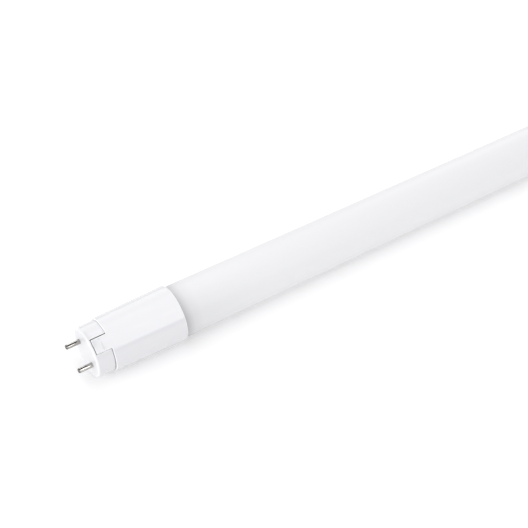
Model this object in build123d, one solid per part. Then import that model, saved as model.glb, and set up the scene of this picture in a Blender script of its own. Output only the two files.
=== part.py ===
from build123d import *
import os
from math import cos, radians, sin

# LED tube, 600 mm class, with two-pin end caps and its driver in the near cap. Millimetres.
# The lamp lies along X with its middle at the origin. It lies on its cap rims with the LED board,
# its heavy side, level below the axis, and the light side up (+Z). The pin ends are set round from
# the boards, so the pins' line is PIN_LINE_ANGLE above +Y.
# Pieces of one end are drawn with the end face at X = 0 and the lamp towards +X.

os.makedirs("parts", exist_ok=True)

# Whole lamp
FACE_TO_FACE = 589.8
PIN_LINE_ANGLE = 23.0

# Contact pins
PIN_SPACING = 12.7
PIN_DIAMETER = 2.35
PIN_REACH = 7.1
PIN_TIP_ROUND = 0.55
PIN_SHANK_DIAMETER = 2.8
PIN_COLLAR_DIAMETER = 3.4
PIN_COLLAR_LENGTH = 0.8
PIN_TAIL_DIAMETER = 1.6
PIN_TAIL_LENGTH = 1.8
PIN_HOLE_CLEARANCE = 0.05

# Pin end, the front moulding that carries the pins
SKIRT_STEP_IN = 0.75
PIN_END_FRONT_ROUND = 0.9
PIN_END_FACE_WALL = 2.4
PIN_BOSS_DIAMETER = 5.6
PIN_BOSS_HEIGHT = 2.0
SKIRT_WALL = 2.0
SKIRT_REAR_BEVEL = 0.3
SPIGOT_STEP_IN = 0.55
SPIGOT_LENGTH = 6.5
SNAP_RIB_HEIGHT = 0.2
SNAP_RIB_WIDTH = 1.2
SNAP_RIB_SETBACK = 3.6
SEAM_GAP = 0.35

# Cap body, the long tapered sleeve
CAP_FRONT = 8.9
CAP_RIM = 45.7
CAP_RIM_WALL = 0.92
CAP_TAPER_DROP = 0.85
CAP_FRONT_BEVEL = 0.3
CAP_RIM_BEVEL = 0.25
SOCKET_DEPTH = 14.0
SPIGOT_CLEARANCE = 0.1
TUBE_CLEARANCE = 0.08
BOARD_CLEARANCE = 0.1

# Tongue of the cap body and its pocket in the pin end
TONGUE_ANGLE = 127.8
TONGUE_WIDTH = 7.2
TONGUE_REACH = 7.45
TONGUE_CORNER_ROUND = 0.5
TONGUE_FRONT_GAP = 0.3
TONGUE_HIGH_SIDE_GAP = 0.45
TONGUE_LOW_SIDE_GAP = 0.15
POCKET_DEPTH = 0.75

# Diffuser tube
TUBE_DIAMETER = 26.0
TUBE_WALL = 1.1
RAIL_THICKNESS = 1.0
RAIL_GRIP = 0.9
GLUE_THICKNESS = 0.5

# LED board
LED_BOARD_WIDTH = 17.0
LED_BOARD_THICKNESS = 1.0
LED_BOARD_FACE = -4.2
LED_BOARD_START = 38.0
LED_PITCH = 9.2
LED_END_MARGIN = 10.0
LED_LENGTH = 3.5
LED_WIDTH = 2.8
LED_HEIGHT = 0.7
LEDS_PER_RESISTOR = 6
RESISTOR_SIZE = (2.0, 1.25, 0.5)
RESISTOR_SIDE = 5.0

# Driver board and what stands on it: sizes along X, Y and Z, places from the board's front edge
DRIVER_BOARD_SETBACK = 0.55
DRIVER_BOARD_LENGTH = 33.6
DRIVER_BOARD_WIDTH = 19.4
DRIVER_BOARD_THICKNESS = 1.2
DRIVER_RIB_THICKNESS = 1.1
DRIVER_RIB_GRIP = 0.8
DRIVER_RIB_LENGTH = 14.0
BULK_CAPACITOR_SIZE = (11.5, 8.0)
BULK_CAPACITOR_PLACE = (13.8, 4.5)
OUTPUT_CAPACITOR_SIZE = (9.0, 6.3)
OUTPUT_CAPACITOR_PLACE = (25.6, 4.6)
INDUCTOR_CORE = (9.0, 8.0, 7.2)
INDUCTOR_PLATE = 2.0
INDUCTOR_WINDING_DIAMETER = 6.8
INDUCTOR_PLACE = (19.9, -4.2)
CHOKE_DIAMETER = 6.0
CHOKE_HEIGHT = 7.0
CHOKE_FLANGE = 1.2
CHOKE_WAIST_DIAMETER = 4.0
CHOKE_PLACE = (11.6, -4.6)
FILM_CAPACITOR_SIZE = (4.0, 7.2, 7.0)
FILM_CAPACITOR_PLACE = (27.4, -3.9)
VARISTOR_DIAMETER = 7.0
VARISTOR_THICKNESS = 2.6
VARISTOR_PLACE = (6.6, -4.0)
FUSE_DIAMETER = 2.6
FUSE_LENGTH = 8.0
FUSE_CAP_DIAMETER = 3.0
FUSE_CAP_LENGTH = 1.6
FUSE_PLACE = (5.3, 4.6)
BRIDGE_SIZE = (4.7, 3.9, 1.5)
BRIDGE_PLACE = (9.0, 3.0)
CHIP_SIZE = (4.9, 3.9, 1.5)
CHIP_PLACE = (18.0, -2.5)
DIODE_SIZE = (4.3, 2.6, 2.2)
DIODE_PLACE = (25.0, 3.5)
CHIP_EDGE = 0.2
CAN_EDGE = 0.5

# Wires and posts
WIRE_DIAMETER = 1.4
WIRE_BEND = 1.0
WIRE_LAP = 3.4
LINK_REACH = 3.2
LINK_BEND = 2.0
POST_DIAMETER = 0.8
POST_SPACING = 5.0
POST_PLACE = 31.6

# Radii and stations that follow from the sizes above
TUBE_RADIUS = TUBE_DIAMETER / 2
TUBE_BORE_RADIUS = TUBE_RADIUS - TUBE_WALL
SOCKET_RADIUS = TUBE_RADIUS + TUBE_CLEARANCE
CAP_RIM_RADIUS = SOCKET_RADIUS + CAP_RIM_WALL
CAP_FRONT_RADIUS = CAP_RIM_RADIUS - CAP_TAPER_DROP
SKIRT_RADIUS = CAP_FRONT_RADIUS - SKIRT_STEP_IN
SKIRT_BORE_RADIUS = SKIRT_RADIUS - SKIRT_WALL
SPIGOT_RADIUS = SKIRT_RADIUS - SPIGOT_STEP_IN
CAP_BORE_RADIUS = SPIGOT_RADIUS + SPIGOT_CLEARANCE
SKIRT_END = CAP_FRONT - SEAM_GAP
SPIGOT_END = SKIRT_END + SPIGOT_LENGTH
CAP_SEAT = CAP_RIM - SOCKET_DEPTH
TUBE_END = CAP_SEAT + GLUE_THICKNESS
TAPER = CAP_TAPER_DROP / (CAP_RIM - CAP_FRONT)
LED_BOARD_LENGTH = FACE_TO_FACE - 2 * LED_BOARD_START
LED_COUNT = int((LED_BOARD_LENGTH - 2 * LED_END_MARGIN) / LED_PITCH) + 1
RESISTOR_COUNT = LED_COUNT // LEDS_PER_RESISTOR
DRIVER_BOARD_START = SPIGOT_END + DRIVER_BOARD_SETBACK
PIN_SIDE = PIN_SPACING / 2
PIN_BOSS_END = PIN_END_FACE_WALL + PIN_BOSS_HEIGHT
PIN_TAIL_END = PIN_BOSS_END + PIN_COLLAR_LENGTH + PIN_TAIL_LENGTH
DRIVER_TOP = DRIVER_BOARD_THICKNESS / 2
DRIVER_UNDERSIDE = -DRIVER_BOARD_THICKNESS / 2


def pin_place(side):
    """Y and Z of the pin on one side of the pins' line."""
    return side * PIN_SIDE * cos(radians(PIN_LINE_ANGLE)), side * PIN_SIDE * sin(radians(PIN_LINE_ANGLE))


def cap_radius(x):
    """Outer radius of the tapered cap body at a distance x from the end face."""
    return CAP_FRONT_RADIUS + TAPER * (x - CAP_FRONT)


def turned(profile):
    """A full turn of a closed profile drawn in XY, with Y as the radius, about the lamp's axis."""
    return revolve(make_face(profile), Axis.X, 360)


def rounded_outline(corners, rounds):
    """A closed outline through the corners, with an arc at each corner that rounds gives a radius."""
    edges = []
    count = len(corners)
    ends = []
    for i in range(count):
        radius = rounds.get(i, 0)
        here = Vector(*corners[i])
        before = (Vector(*corners[i - 1]) - here).normalized()
        after = (Vector(*corners[(i + 1) % count]) - here).normalized()
        if radius == 0:
            ends.append((here, here))
            continue
        half_turn = radians(before.get_angle(after)) / 2
        reach = radius * (1 - sin(half_turn) ** 2) ** 0.5 / sin(half_turn)
        start = here + before * reach
        end = here + after * reach
        centre = here + (before + after).normalized() * (radius / sin(half_turn))
        middle = centre + (here - centre).normalized() * radius
        edges.append(ThreePointArc(start, middle, end))
        ends.append((start, end))
    for i in range(count):
        leave = ends[i][1]
        arrive = ends[(i + 1) % count][0]
        edges.append(Line(leave, arrive))
    return edges


def spanning_bar(start, end, low_side, high_side, angle):
    """A bar from the axis outwards at an angle, between two stations and two side faces."""
    length = end - start
    width = high_side - low_side
    bar = Box(length, width, 2 * CAP_RIM_RADIUS, align=(Align.MIN, Align.MIN, Align.MIN))
    return Rot(X=angle - 90) * Pos(start, low_side, 0) * bar


def ring_slab(start, end, inner_start, outer_start, outer_end):
    """A short ring between two stations, straight inside and straight or tapered outside."""
    corners = [(start, inner_start), (start, outer_start), (end, outer_end), (end, inner_start)]
    return turned(Polyline(*corners, close=True))


def pin_end():
    """The front moulding: face wall, pin bosses, skirt, spigot with snap rib, tongue pocket."""
    rib_start = SPIGOT_END - SNAP_RIB_SETBACK
    rib_top = SPIGOT_RADIUS + SNAP_RIB_HEIGHT
    corners = [
        (0, 0),
        (0, SKIRT_RADIUS),
        (SKIRT_END - SKIRT_REAR_BEVEL, SKIRT_RADIUS),
        (SKIRT_END, SKIRT_RADIUS - SKIRT_REAR_BEVEL),
        (SKIRT_END, SPIGOT_RADIUS),
        (rib_start, SPIGOT_RADIUS),
        (rib_start + SNAP_RIB_HEIGHT, rib_top),
        (rib_start + SNAP_RIB_WIDTH - SNAP_RIB_HEIGHT, rib_top),
        (rib_start + SNAP_RIB_WIDTH, SPIGOT_RADIUS),
        (SPIGOT_END, SPIGOT_RADIUS),
        (SPIGOT_END, SKIRT_BORE_RADIUS),
        (PIN_END_FACE_WALL, SKIRT_BORE_RADIUS),
        (PIN_END_FACE_WALL, 0),
    ]
    body = turned(rounded_outline(corners, {1: PIN_END_FRONT_ROUND}))
    boss = Cylinder(PIN_BOSS_DIAMETER / 2, PIN_BOSS_HEIGHT)
    boss_middle = PIN_END_FACE_WALL + PIN_BOSS_HEIGHT / 2
    hole = Cylinder(PIN_SHANK_DIAMETER / 2 + PIN_HOLE_CLEARANCE, 2 * PIN_TAIL_END)
    for side in (-1, 1):
        body += Pos(boss_middle, *pin_place(side)) * Rot(Y=90) * boss
    for side in (-1, 1):
        body -= Pos(0, *pin_place(side)) * Rot(Y=90) * hole
    pocket_start = CAP_FRONT - TONGUE_REACH - TONGUE_FRONT_GAP
    pocket_floor = SKIRT_RADIUS - POCKET_DEPTH
    pocket_ring = ring_slab(pocket_start, SKIRT_END, pocket_floor, CAP_RIM_RADIUS, CAP_RIM_RADIUS)
    low_side = -TONGUE_WIDTH / 2 - TONGUE_LOW_SIDE_GAP
    high_side = TONGUE_WIDTH / 2 + TONGUE_HIGH_SIDE_GAP
    bar = spanning_bar(pocket_start, SKIRT_END, low_side, high_side, TONGUE_ANGLE)
    return body - (pocket_ring & bar)


def tongue():
    """The tongue: it carries the taper of the cap body forward over the pin end's pocket."""
    start = CAP_FRONT - TONGUE_REACH
    end = CAP_FRONT + 2 * CAP_FRONT_BEVEL
    ring = ring_slab(start, end, CAP_BORE_RADIUS, cap_radius(start), cap_radius(end))
    blade = ring & spanning_bar(start, end, -TONGUE_WIDTH / 2, TONGUE_WIDTH / 2, TONGUE_ANGLE)
    blade = Rot(X=90 - TONGUE_ANGLE) * blade
    corners = blade.edges().filter_by(Axis.Z).group_by(Axis.X)[0]
    blade = fillet(corners, TONGUE_CORNER_ROUND)
    return Rot(X=TONGUE_ANGLE - 90) * blade


def cap_body():
    """The long tapered sleeve: tube socket, bore with snap groove, driver board ribs, tongue."""
    rib_start = SPIGOT_END - SNAP_RIB_SETBACK
    groove_start = rib_start - SPIGOT_CLEARANCE
    groove_end = rib_start + SNAP_RIB_WIDTH + SPIGOT_CLEARANCE
    groove_radius = CAP_BORE_RADIUS + SNAP_RIB_HEIGHT
    corners = [
        (CAP_FRONT, CAP_BORE_RADIUS),
        (CAP_FRONT, cap_radius(CAP_FRONT) - CAP_FRONT_BEVEL),
        (CAP_FRONT + CAP_FRONT_BEVEL, cap_radius(CAP_FRONT)),
        (CAP_RIM - CAP_RIM_BEVEL, cap_radius(CAP_RIM)),
        (CAP_RIM, cap_radius(CAP_RIM) - CAP_RIM_BEVEL),
        (CAP_RIM, SOCKET_RADIUS),
        (CAP_SEAT, SOCKET_RADIUS),
        (CAP_SEAT, CAP_BORE_RADIUS),
        (groove_end, CAP_BORE_RADIUS),
        (groove_end, groove_radius),
        (groove_start, groove_radius),
        (groove_start, CAP_BORE_RADIUS),
    ]
    body = turned(Polyline(*corners, close=True)) + tongue()
    rib_tip = DRIVER_BOARD_WIDTH / 2 - DRIVER_RIB_GRIP
    rib_foot = CAP_BORE_RADIUS + SPIGOT_CLEARANCE
    rib_gap = DRIVER_BOARD_THICKNESS / 2 + BOARD_CLEARANCE
    rib_depth = rib_foot - rib_tip
    for side in (-1, 1):
        for level in (-1, 1):
            rib = Box(DRIVER_RIB_LENGTH, rib_depth, DRIVER_RIB_THICKNESS)
            x = CAP_SEAT - DRIVER_RIB_LENGTH / 2
            y = side * (rib_tip + rib_depth / 2)
            z = level * (rib_gap + DRIVER_RIB_THICKNESS / 2)
            body += Pos(x, y, z) * rib
    board_slot = Box(DRIVER_RIB_LENGTH, DRIVER_BOARD_WIDTH + 2 * BOARD_CLEARANCE, 2 * rib_gap)
    return body - Pos(CAP_SEAT - DRIVER_RIB_LENGTH / 2, 0, 0) * board_slot


def pin(side):
    """A contact pin: rounded tip, thicker shank in the face wall, collar behind it, solder tail."""
    collar_end = PIN_BOSS_END + PIN_COLLAR_LENGTH
    corners = [
        (-PIN_REACH, 0),
        (-PIN_REACH, PIN_DIAMETER / 2),
        (0, PIN_DIAMETER / 2),
        (0, PIN_SHANK_DIAMETER / 2),
        (PIN_BOSS_END, PIN_SHANK_DIAMETER / 2),
        (PIN_BOSS_END, PIN_COLLAR_DIAMETER / 2),
        (collar_end, PIN_COLLAR_DIAMETER / 2),
        (collar_end, PIN_TAIL_DIAMETER / 2),
        (PIN_TAIL_END, PIN_TAIL_DIAMETER / 2),
        (PIN_TAIL_END, 0),
    ]
    return Pos(0, *pin_place(side)) * turned(rounded_outline(corners, {1: PIN_TIP_ROUND}))


def glue_ring():
    """The ring of glue between the tube's end and its seat in the cap body."""
    return ring_slab(CAP_SEAT, TUBE_END, TUBE_BORE_RADIUS, TUBE_RADIUS, TUBE_RADIUS)


def diffuser_tube():
    """The opal tube: a ring section with two pairs of rails that grip the LED board's edges."""
    section = Circle(TUBE_RADIUS) - Circle(TUBE_BORE_RADIUS)
    rail_tip = LED_BOARD_WIDTH / 2 - RAIL_GRIP
    upper = LED_BOARD_FACE + BOARD_CLEARANCE + RAIL_THICKNESS / 2
    lower = LED_BOARD_FACE - LED_BOARD_THICKNESS - BOARD_CLEARANCE - RAIL_THICKNESS / 2
    depth = TUBE_RADIUS - rail_tip
    rails = Sketch()
    for side in (-1, 1):
        for level in (upper, lower):
            rails += Pos(side * (rail_tip + depth / 2), level) * Rectangle(depth, RAIL_THICKNESS)
    section += rails & Circle(TUBE_RADIUS - TUBE_WALL / 2)
    length = FACE_TO_FACE - 2 * TUBE_END
    return Pos(-length / 2, 0, 0) * extrude(Plane.YZ * section, length)


def led_board():
    """The long board that the LEDs are soldered to."""
    z = LED_BOARD_FACE - LED_BOARD_THICKNESS / 2
    return Pos(0, 0, z) * Box(LED_BOARD_LENGTH, LED_BOARD_WIDTH, LED_BOARD_THICKNESS)


def led_packages():
    """One row of LEDs along the middle of the board."""
    package = Box(LED_LENGTH, LED_WIDTH, LED_HEIGHT)
    first = -(LED_COUNT - 1) * LED_PITCH / 2
    z = LED_BOARD_FACE + LED_HEIGHT / 2
    return Compound([Pos(first + i * LED_PITCH, 0, z) * package for i in range(LED_COUNT)])


def board_resistors():
    """Small resistors beside the row, one for each string of LEDs."""
    chip = Box(*RESISTOR_SIZE)
    step = LED_PITCH * LEDS_PER_RESISTOR
    first = -(RESISTOR_COUNT - 1) * step / 2
    z = LED_BOARD_FACE + RESISTOR_SIZE[2] / 2
    return Compound([Pos(first + i * step, RESISTOR_SIDE, z) * chip for i in range(RESISTOR_COUNT)])


def driver_board():
    """The driver's circuit board, level across the cap body."""
    board = Box(DRIVER_BOARD_LENGTH, DRIVER_BOARD_WIDTH, DRIVER_BOARD_THICKNESS)
    return Pos(DRIVER_BOARD_START + DRIVER_BOARD_LENGTH / 2, 0, 0) * board


def on_board(place, shape):
    """A part that stands on top of the driver board, drawn with its foot at Z = 0."""
    return Pos(DRIVER_BOARD_START + place[0], place[1], DRIVER_TOP) * shape


def under_board(place, size):
    """A flat moulded chip soldered to the underside of the driver board."""
    chip = Box(*size)
    chip = chamfer(chip.faces().sort_by(Axis.Z)[0].edges(), CHIP_EDGE)
    return Pos(DRIVER_BOARD_START + place[0], place[1], DRIVER_UNDERSIDE - size[2] / 2) * chip


def lying_can(size, place):
    """An electrolytic capacitor lying along the lamp, with bevelled can ends."""
    length, diameter = size
    can = Cylinder(diameter / 2, length)
    can = chamfer(can.edges().filter_by(GeomType.CIRCLE), CAN_EDGE)
    return on_board(place, Pos(0, 0, diameter / 2) * Rot(Y=90) * can)


def power_inductor():
    """A wound core: two end plates with the winding between them."""
    length, width, height = INDUCTOR_CORE
    plate = Box(INDUCTOR_PLATE, width, height)
    shift = (length - INDUCTOR_PLATE) / 2
    winding = Rot(Y=90) * Cylinder(INDUCTOR_WINDING_DIAMETER / 2, length - INDUCTOR_PLATE)
    core = Pos(0, 0, height / 2) * (Pos(-shift, 0, 0) * plate + Pos(shift, 0, 0) * plate + winding)
    return on_board(INDUCTOR_PLACE, core)


def input_choke():
    """A drum choke on end: two flanges and the winding between them."""
    waist_top = CHOKE_HEIGHT - CHOKE_FLANGE
    corners = [
        (0, 0),
        (0, CHOKE_DIAMETER / 2),
        (CHOKE_FLANGE, CHOKE_DIAMETER / 2),
        (CHOKE_FLANGE, CHOKE_WAIST_DIAMETER / 2),
        (waist_top, CHOKE_WAIST_DIAMETER / 2),
        (waist_top, CHOKE_DIAMETER / 2),
        (CHOKE_HEIGHT, CHOKE_DIAMETER / 2),
        (CHOKE_HEIGHT, 0),
    ]
    return on_board(CHOKE_PLACE, Rot(Y=-90) * turned(Polyline(*corners, close=True)))


def film_capacitor():
    """A boxed film capacitor with bevelled upright edges."""
    box = Box(*FILM_CAPACITOR_SIZE, align=(Align.CENTER, Align.CENTER, Align.MIN))
    return on_board(FILM_CAPACITOR_PLACE, chamfer(box.edges().filter_by(Axis.Z), CAN_EDGE))


def varistor():
    """A disc varistor that stands on its edge across the board."""
    disc = Cylinder(VARISTOR_DIAMETER / 2, VARISTOR_THICKNESS)
    disc = chamfer(disc.edges().filter_by(GeomType.CIRCLE), CAN_EDGE)
    return on_board(VARISTOR_PLACE, Pos(0, 0, VARISTOR_DIAMETER / 2) * Rot(Y=90) * disc)


def fusible_resistor():
    """A wire-wound fusible resistor lying across the board, with its two end caps."""
    body = Cylinder(FUSE_DIAMETER / 2, FUSE_LENGTH)
    cap = Cylinder(FUSE_CAP_DIAMETER / 2, FUSE_CAP_LENGTH)
    shift = (FUSE_LENGTH - FUSE_CAP_LENGTH) / 2
    body += Pos(0, 0, -shift) * cap + Pos(0, 0, shift) * cap
    return on_board(FUSE_PLACE, Pos(0, 0, FUSE_CAP_DIAMETER / 2) * Rot(X=90) * body)


def wire(points, bend):
    """A round insulated wire along straight runs joined by tangent arcs."""
    path = FilletPolyline(*points, radius=bend)
    start = Plane(origin=path @ 0, z_dir=path % 0)
    return sweep(start * Circle(WIRE_DIAMETER / 2), path=path)


def supply_wire(side):
    """A mains wire from a pin's tail: the high pin's to the driver board's top, the low one's under it."""
    y, z = pin_place(side)
    lap = side * (DRIVER_TOP + WIRE_DIAMETER / 2 + BOARD_CLEARANCE)
    rise_start = PIN_TAIL_END + WIRE_BEND
    rise_end = DRIVER_BOARD_START - WIRE_DIAMETER / 2
    lap_end = DRIVER_BOARD_START + WIRE_LAP
    points = [(PIN_TAIL_END, y, z), (rise_start, y, z), (rise_end, y, lap), (lap_end, y, lap)]
    return wire(points, WIRE_BEND)


def link_wire():
    """The wire that joins the two far pins behind their bosses."""
    reach = PIN_TAIL_END + LINK_REACH
    low = pin_place(-1)
    high = pin_place(1)
    points = [(PIN_TAIL_END, *low), (reach, *low), (reach, *high), (PIN_TAIL_END, *high)]
    return wire(points, LINK_BEND)


def supply_posts():
    """Two soldered posts that carry the driver's output down to the LED board."""
    height = DRIVER_UNDERSIDE - LED_BOARD_FACE
    post = Cylinder(POST_DIAMETER / 2, height, align=(Align.CENTER, Align.CENTER, Align.MIN))
    x = DRIVER_BOARD_START + POST_PLACE
    return Compound([Pos(x, y, LED_BOARD_FACE) * post for y in (-POST_SPACING / 2, POST_SPACING / 2)])


def near(shape):
    """Puts a piece drawn from the end face at the near end."""
    return Pos(-FACE_TO_FACE / 2, 0, 0) * shape


def far(shape):
    """Puts the same piece at the far end, turned end for end square to the pins' line."""
    end_for_end = Rot(X=PIN_LINE_ANGLE) * Rot(Z=180) * Rot(X=-PIN_LINE_ANGLE)
    return Pos(FACE_TO_FACE / 2, 0, 0) * end_for_end * shape


NODES = {
    "diffuser_tube": diffuser_tube(),
    "near_cap_body": near(cap_body()),
    "far_cap_body": far(cap_body()),
    "near_pin_end": near(pin_end()),
    "far_pin_end": far(pin_end()),
    "near_back_pin": near(pin(1)),
    "near_front_pin": near(pin(-1)),
    "far_back_pin": far(pin(-1)),
    "far_front_pin": far(pin(1)),
    "near_glue_ring": near(glue_ring()),
    "far_glue_ring": far(glue_ring()),
    "led_board": led_board(),
    "led_packages": led_packages(),
    "board_resistors": board_resistors(),
    "driver_board": near(driver_board()),
    "bulk_capacitor": near(lying_can(BULK_CAPACITOR_SIZE, BULK_CAPACITOR_PLACE)),
    "output_capacitor": near(lying_can(OUTPUT_CAPACITOR_SIZE, OUTPUT_CAPACITOR_PLACE)),
    "film_capacitor": near(film_capacitor()),
    "power_inductor": near(power_inductor()),
    "input_choke": near(input_choke()),
    "varistor": near(varistor()),
    "fusible_resistor": near(fusible_resistor()),
    "bridge_rectifier": near(under_board(BRIDGE_PLACE, BRIDGE_SIZE)),
    "driver_chip": near(under_board(CHIP_PLACE, CHIP_SIZE)),
    "output_diode": near(under_board(DIODE_PLACE, DIODE_SIZE)),
    "live_wire": near(supply_wire(1)),
    "neutral_wire": near(supply_wire(-1)),
    "supply_posts": near(supply_posts()),
    "far_link_wire": far(link_wire()),
}

for name, shape in NODES.items():
    export_step(shape, "parts/" + name + ".step")
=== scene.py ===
from math import atan2, cos, degrees, pi, radians, sin, tau

import bmesh
import bpy
from mathutils import Matrix, Vector


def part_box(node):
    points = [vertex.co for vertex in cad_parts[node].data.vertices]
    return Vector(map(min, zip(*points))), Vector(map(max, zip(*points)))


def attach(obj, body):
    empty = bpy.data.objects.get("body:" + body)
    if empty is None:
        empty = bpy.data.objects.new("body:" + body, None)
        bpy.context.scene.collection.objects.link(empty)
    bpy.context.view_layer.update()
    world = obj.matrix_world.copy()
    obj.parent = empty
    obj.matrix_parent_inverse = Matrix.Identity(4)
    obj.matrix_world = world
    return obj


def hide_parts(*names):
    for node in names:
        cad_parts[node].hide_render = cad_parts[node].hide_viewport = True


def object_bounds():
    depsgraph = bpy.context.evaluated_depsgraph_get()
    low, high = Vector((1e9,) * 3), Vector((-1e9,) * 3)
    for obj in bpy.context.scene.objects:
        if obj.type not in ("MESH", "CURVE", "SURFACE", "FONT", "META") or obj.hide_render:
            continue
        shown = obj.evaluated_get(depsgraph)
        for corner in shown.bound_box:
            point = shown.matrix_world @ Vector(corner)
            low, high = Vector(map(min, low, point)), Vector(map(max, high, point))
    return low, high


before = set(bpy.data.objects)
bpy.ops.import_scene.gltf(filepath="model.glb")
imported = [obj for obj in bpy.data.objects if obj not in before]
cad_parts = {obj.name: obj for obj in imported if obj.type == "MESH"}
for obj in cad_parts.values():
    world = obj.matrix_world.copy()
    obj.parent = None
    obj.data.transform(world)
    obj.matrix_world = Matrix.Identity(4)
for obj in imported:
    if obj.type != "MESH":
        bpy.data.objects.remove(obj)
cad_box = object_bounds()

# Camera: the lamp seen from above its near end, from the side that the pins' line drops to.
# A long lens from half a metre away, so that the lamp leaves the picture at the right.
camera_data = bpy.data.cameras.new("camera")
camera_data.lens = 68.18
camera_data.sensor_width = 36.0
camera_data.clip_start = 0.01
camera = bpy.data.objects.new("camera", camera_data)
AIM = Vector((-0.1978, 0.0, 0.0052))
VIEW_FROM = Vector((-0.4002, -0.6068, 0.6867)).normalized()
VIEW_DISTANCE = 0.4907
camera.location = AIM + VIEW_DISTANCE * VIEW_FROM
camera.rotation_euler = (AIM - camera.location).to_track_quat("-Z", "Y").to_euler()
bpy.context.scene.collection.objects.link(camera)
bpy.context.scene.camera = camera
bpy.context.scene.view_settings.view_transform = "Standard"

# Floor: a smooth white light table that the lamp's cap rims rest on. Its own faint glow keeps the
# lamp's shadow soft.
floor_mesh = bpy.data.meshes.new("floor")
sheet = bmesh.new()
bmesh.ops.create_grid(sheet, x_segments=1, y_segments=1, size=6.0)
bmesh.ops.translate(sheet, vec=(0, 0, cad_box[0][2]), verts=sheet.verts)
sheet.to_mesh(floor_mesh)
sheet.free()
floor = bpy.data.objects.new("floor", floor_mesh)
bpy.context.scene.collection.objects.link(floor)
paper = bpy.data.materials.new("white_paper")
paper.use_nodes = True
paper_shader = paper.node_tree.nodes["Principled BSDF"]
paper_shader.inputs["Base Color"].default_value = (0.83, 0.83, 0.83, 1)
paper_shader.inputs["Emission Color"].default_value = (1, 1, 1, 1)
paper_shader.inputs["Emission Strength"].default_value = 0.19
paper_shader.inputs["Roughness"].default_value = 0.9
paper_shader.inputs["Specular IOR Level"].default_value = 0.1
floor_mesh.materials.append(paper)

# Light: an even white room, and an arch of three long softboxes that stands over the lamp's near
# end. The arch starts a little above the table, which draws the sharp line along the glossy caps.
world = bpy.data.worlds.new("room")
world.use_nodes = True
room = world.node_tree.nodes["Background"]
room.inputs["Color"].default_value = (0.985, 0.985, 1.0, 1)
room.inputs["Strength"].default_value = 0.66
bpy.context.scene.world = world
ARCH_CENTRE = Vector((-0.27, 0.0, 0.0))
ARCH_LEAN = radians(15.5)
ARCH_DISTANCE = 1.5
ARCH_WIDTH = 0.38


def softbox(name, width, height, glow):
    """A rectangular lamp with an even glow over its face."""
    data = bpy.data.lights.new(name, "AREA")
    data.shape = "RECTANGLE"
    data.size = width
    data.size_y = height
    data.energy = glow * pi * width * height
    lamp = bpy.data.objects.new(name, data)
    bpy.context.scene.collection.objects.link(lamp)
    return lamp


# each softbox of the arch: its rise from the near side and half its spread, in degrees, and its glow
for name, rise, spread, glow in (
    ("side_softbox", 38.0, 21.5, 2.5),
    ("top_softbox", 90.0, 30.5, 2.5),
    ("back_softbox", 147.5, 26.5, 1.75),
):
    height = 2 * ARCH_DISTANCE * sin(radians(spread)) / cos(radians(spread))
    lamp = softbox(name, ARCH_WIDTH, height, glow)
    along, up = -cos(radians(rise)), sin(radians(rise))
    outwards = Vector((sin(ARCH_LEAN), cos(ARCH_LEAN) * along, cos(ARCH_LEAN) * up))
    upwards = Vector((0, up, -along))
    across = upwards.cross(outwards).normalized()
    turn = Matrix((across, outwards.cross(across), outwards)).transposed()
    lamp.matrix_world = Matrix.Translation(ARCH_CENTRE + ARCH_DISTANCE * outwards) @ turn.to_4x4()
for name, place, width, height, glow in (
    ("end_softbox", Vector((-1.9, -0.2, 0.55)), 1.8, 1.1, 2.6),
    ("patch_softbox", Vector((1.5, 1.85, 1.0)), 0.7, 0.7, 3.0),
):
    lamp = softbox(name, width, height, glow)
    lamp.location = place
    lamp.rotation_euler = (ARCH_CENTRE - place).to_track_quat("-Z", "Y").to_euler()

# Black card: a bent sheet of felt-covered card over the near pins, which only reflections show. It
# gives the pins' bright metal its dark bands.
CARD_ENDS = (-0.318, -0.2866)
CARD_RADIUS = 0.04
CARD_START = radians(53)
CARD_SPREAD = radians(75)
card_mesh = bpy.data.meshes.new("black_card")
card = bmesh.new()
strip = [card.verts.new((x, CARD_RADIUS, 0)) for x in CARD_ENDS]
card.edges.new(strip)
bmesh.ops.rotate(card, verts=strip, cent=(0, 0, 0), matrix=Matrix.Rotation(CARD_START, 3, "X"))
sides = card.verts[:] + card.edges[:]
bmesh.ops.spin(card, geom=sides, cent=(0, 0, 0), axis=(1, 0, 0), angle=CARD_SPREAD, steps=24)
card.to_mesh(card_mesh)
card.free()
black_card = bpy.data.objects.new("black_card", card_mesh)
black_card.visible_camera = False
black_card.visible_diffuse = False
black_card.visible_shadow = False
bpy.context.scene.collection.objects.link(black_card)
felt = bpy.data.materials.new("black_felt")
felt.use_nodes = True
felt_shader = felt.node_tree.nodes["Principled BSDF"]
felt_shader.inputs["Base Color"].default_value = (0.01, 0.01, 0.01, 1)
felt_shader.inputs["Roughness"].default_value = 1.0
felt_shader.inputs["Specular IOR Level"].default_value = 0.0
card_mesh.materials.append(felt)

# Diffuser tube: an extruded opal polycarbonate tube with a satin surface. Two pairs of rails
# inside it hold the LED board, and both its ends are glued into the caps.
MM = 0.001
TUBE_RADIUS = 13.0
TUBE_WALL = 1.1
TUBE_HALF = 262.7
RAIL_TIP = 7.6
RAIL_WIDTH = 4.0
RAIL_THICKNESS = 1.0
RAIL_LEVELS = (-3.6, -5.8)
CREASE = radians(32)
# in metres from the lamp's middle: the cap's rim, and where the painted shade on the tube ends
CAP_MOUTH = 0.2492
SHADE_PAINT_END = 0.1492


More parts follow.
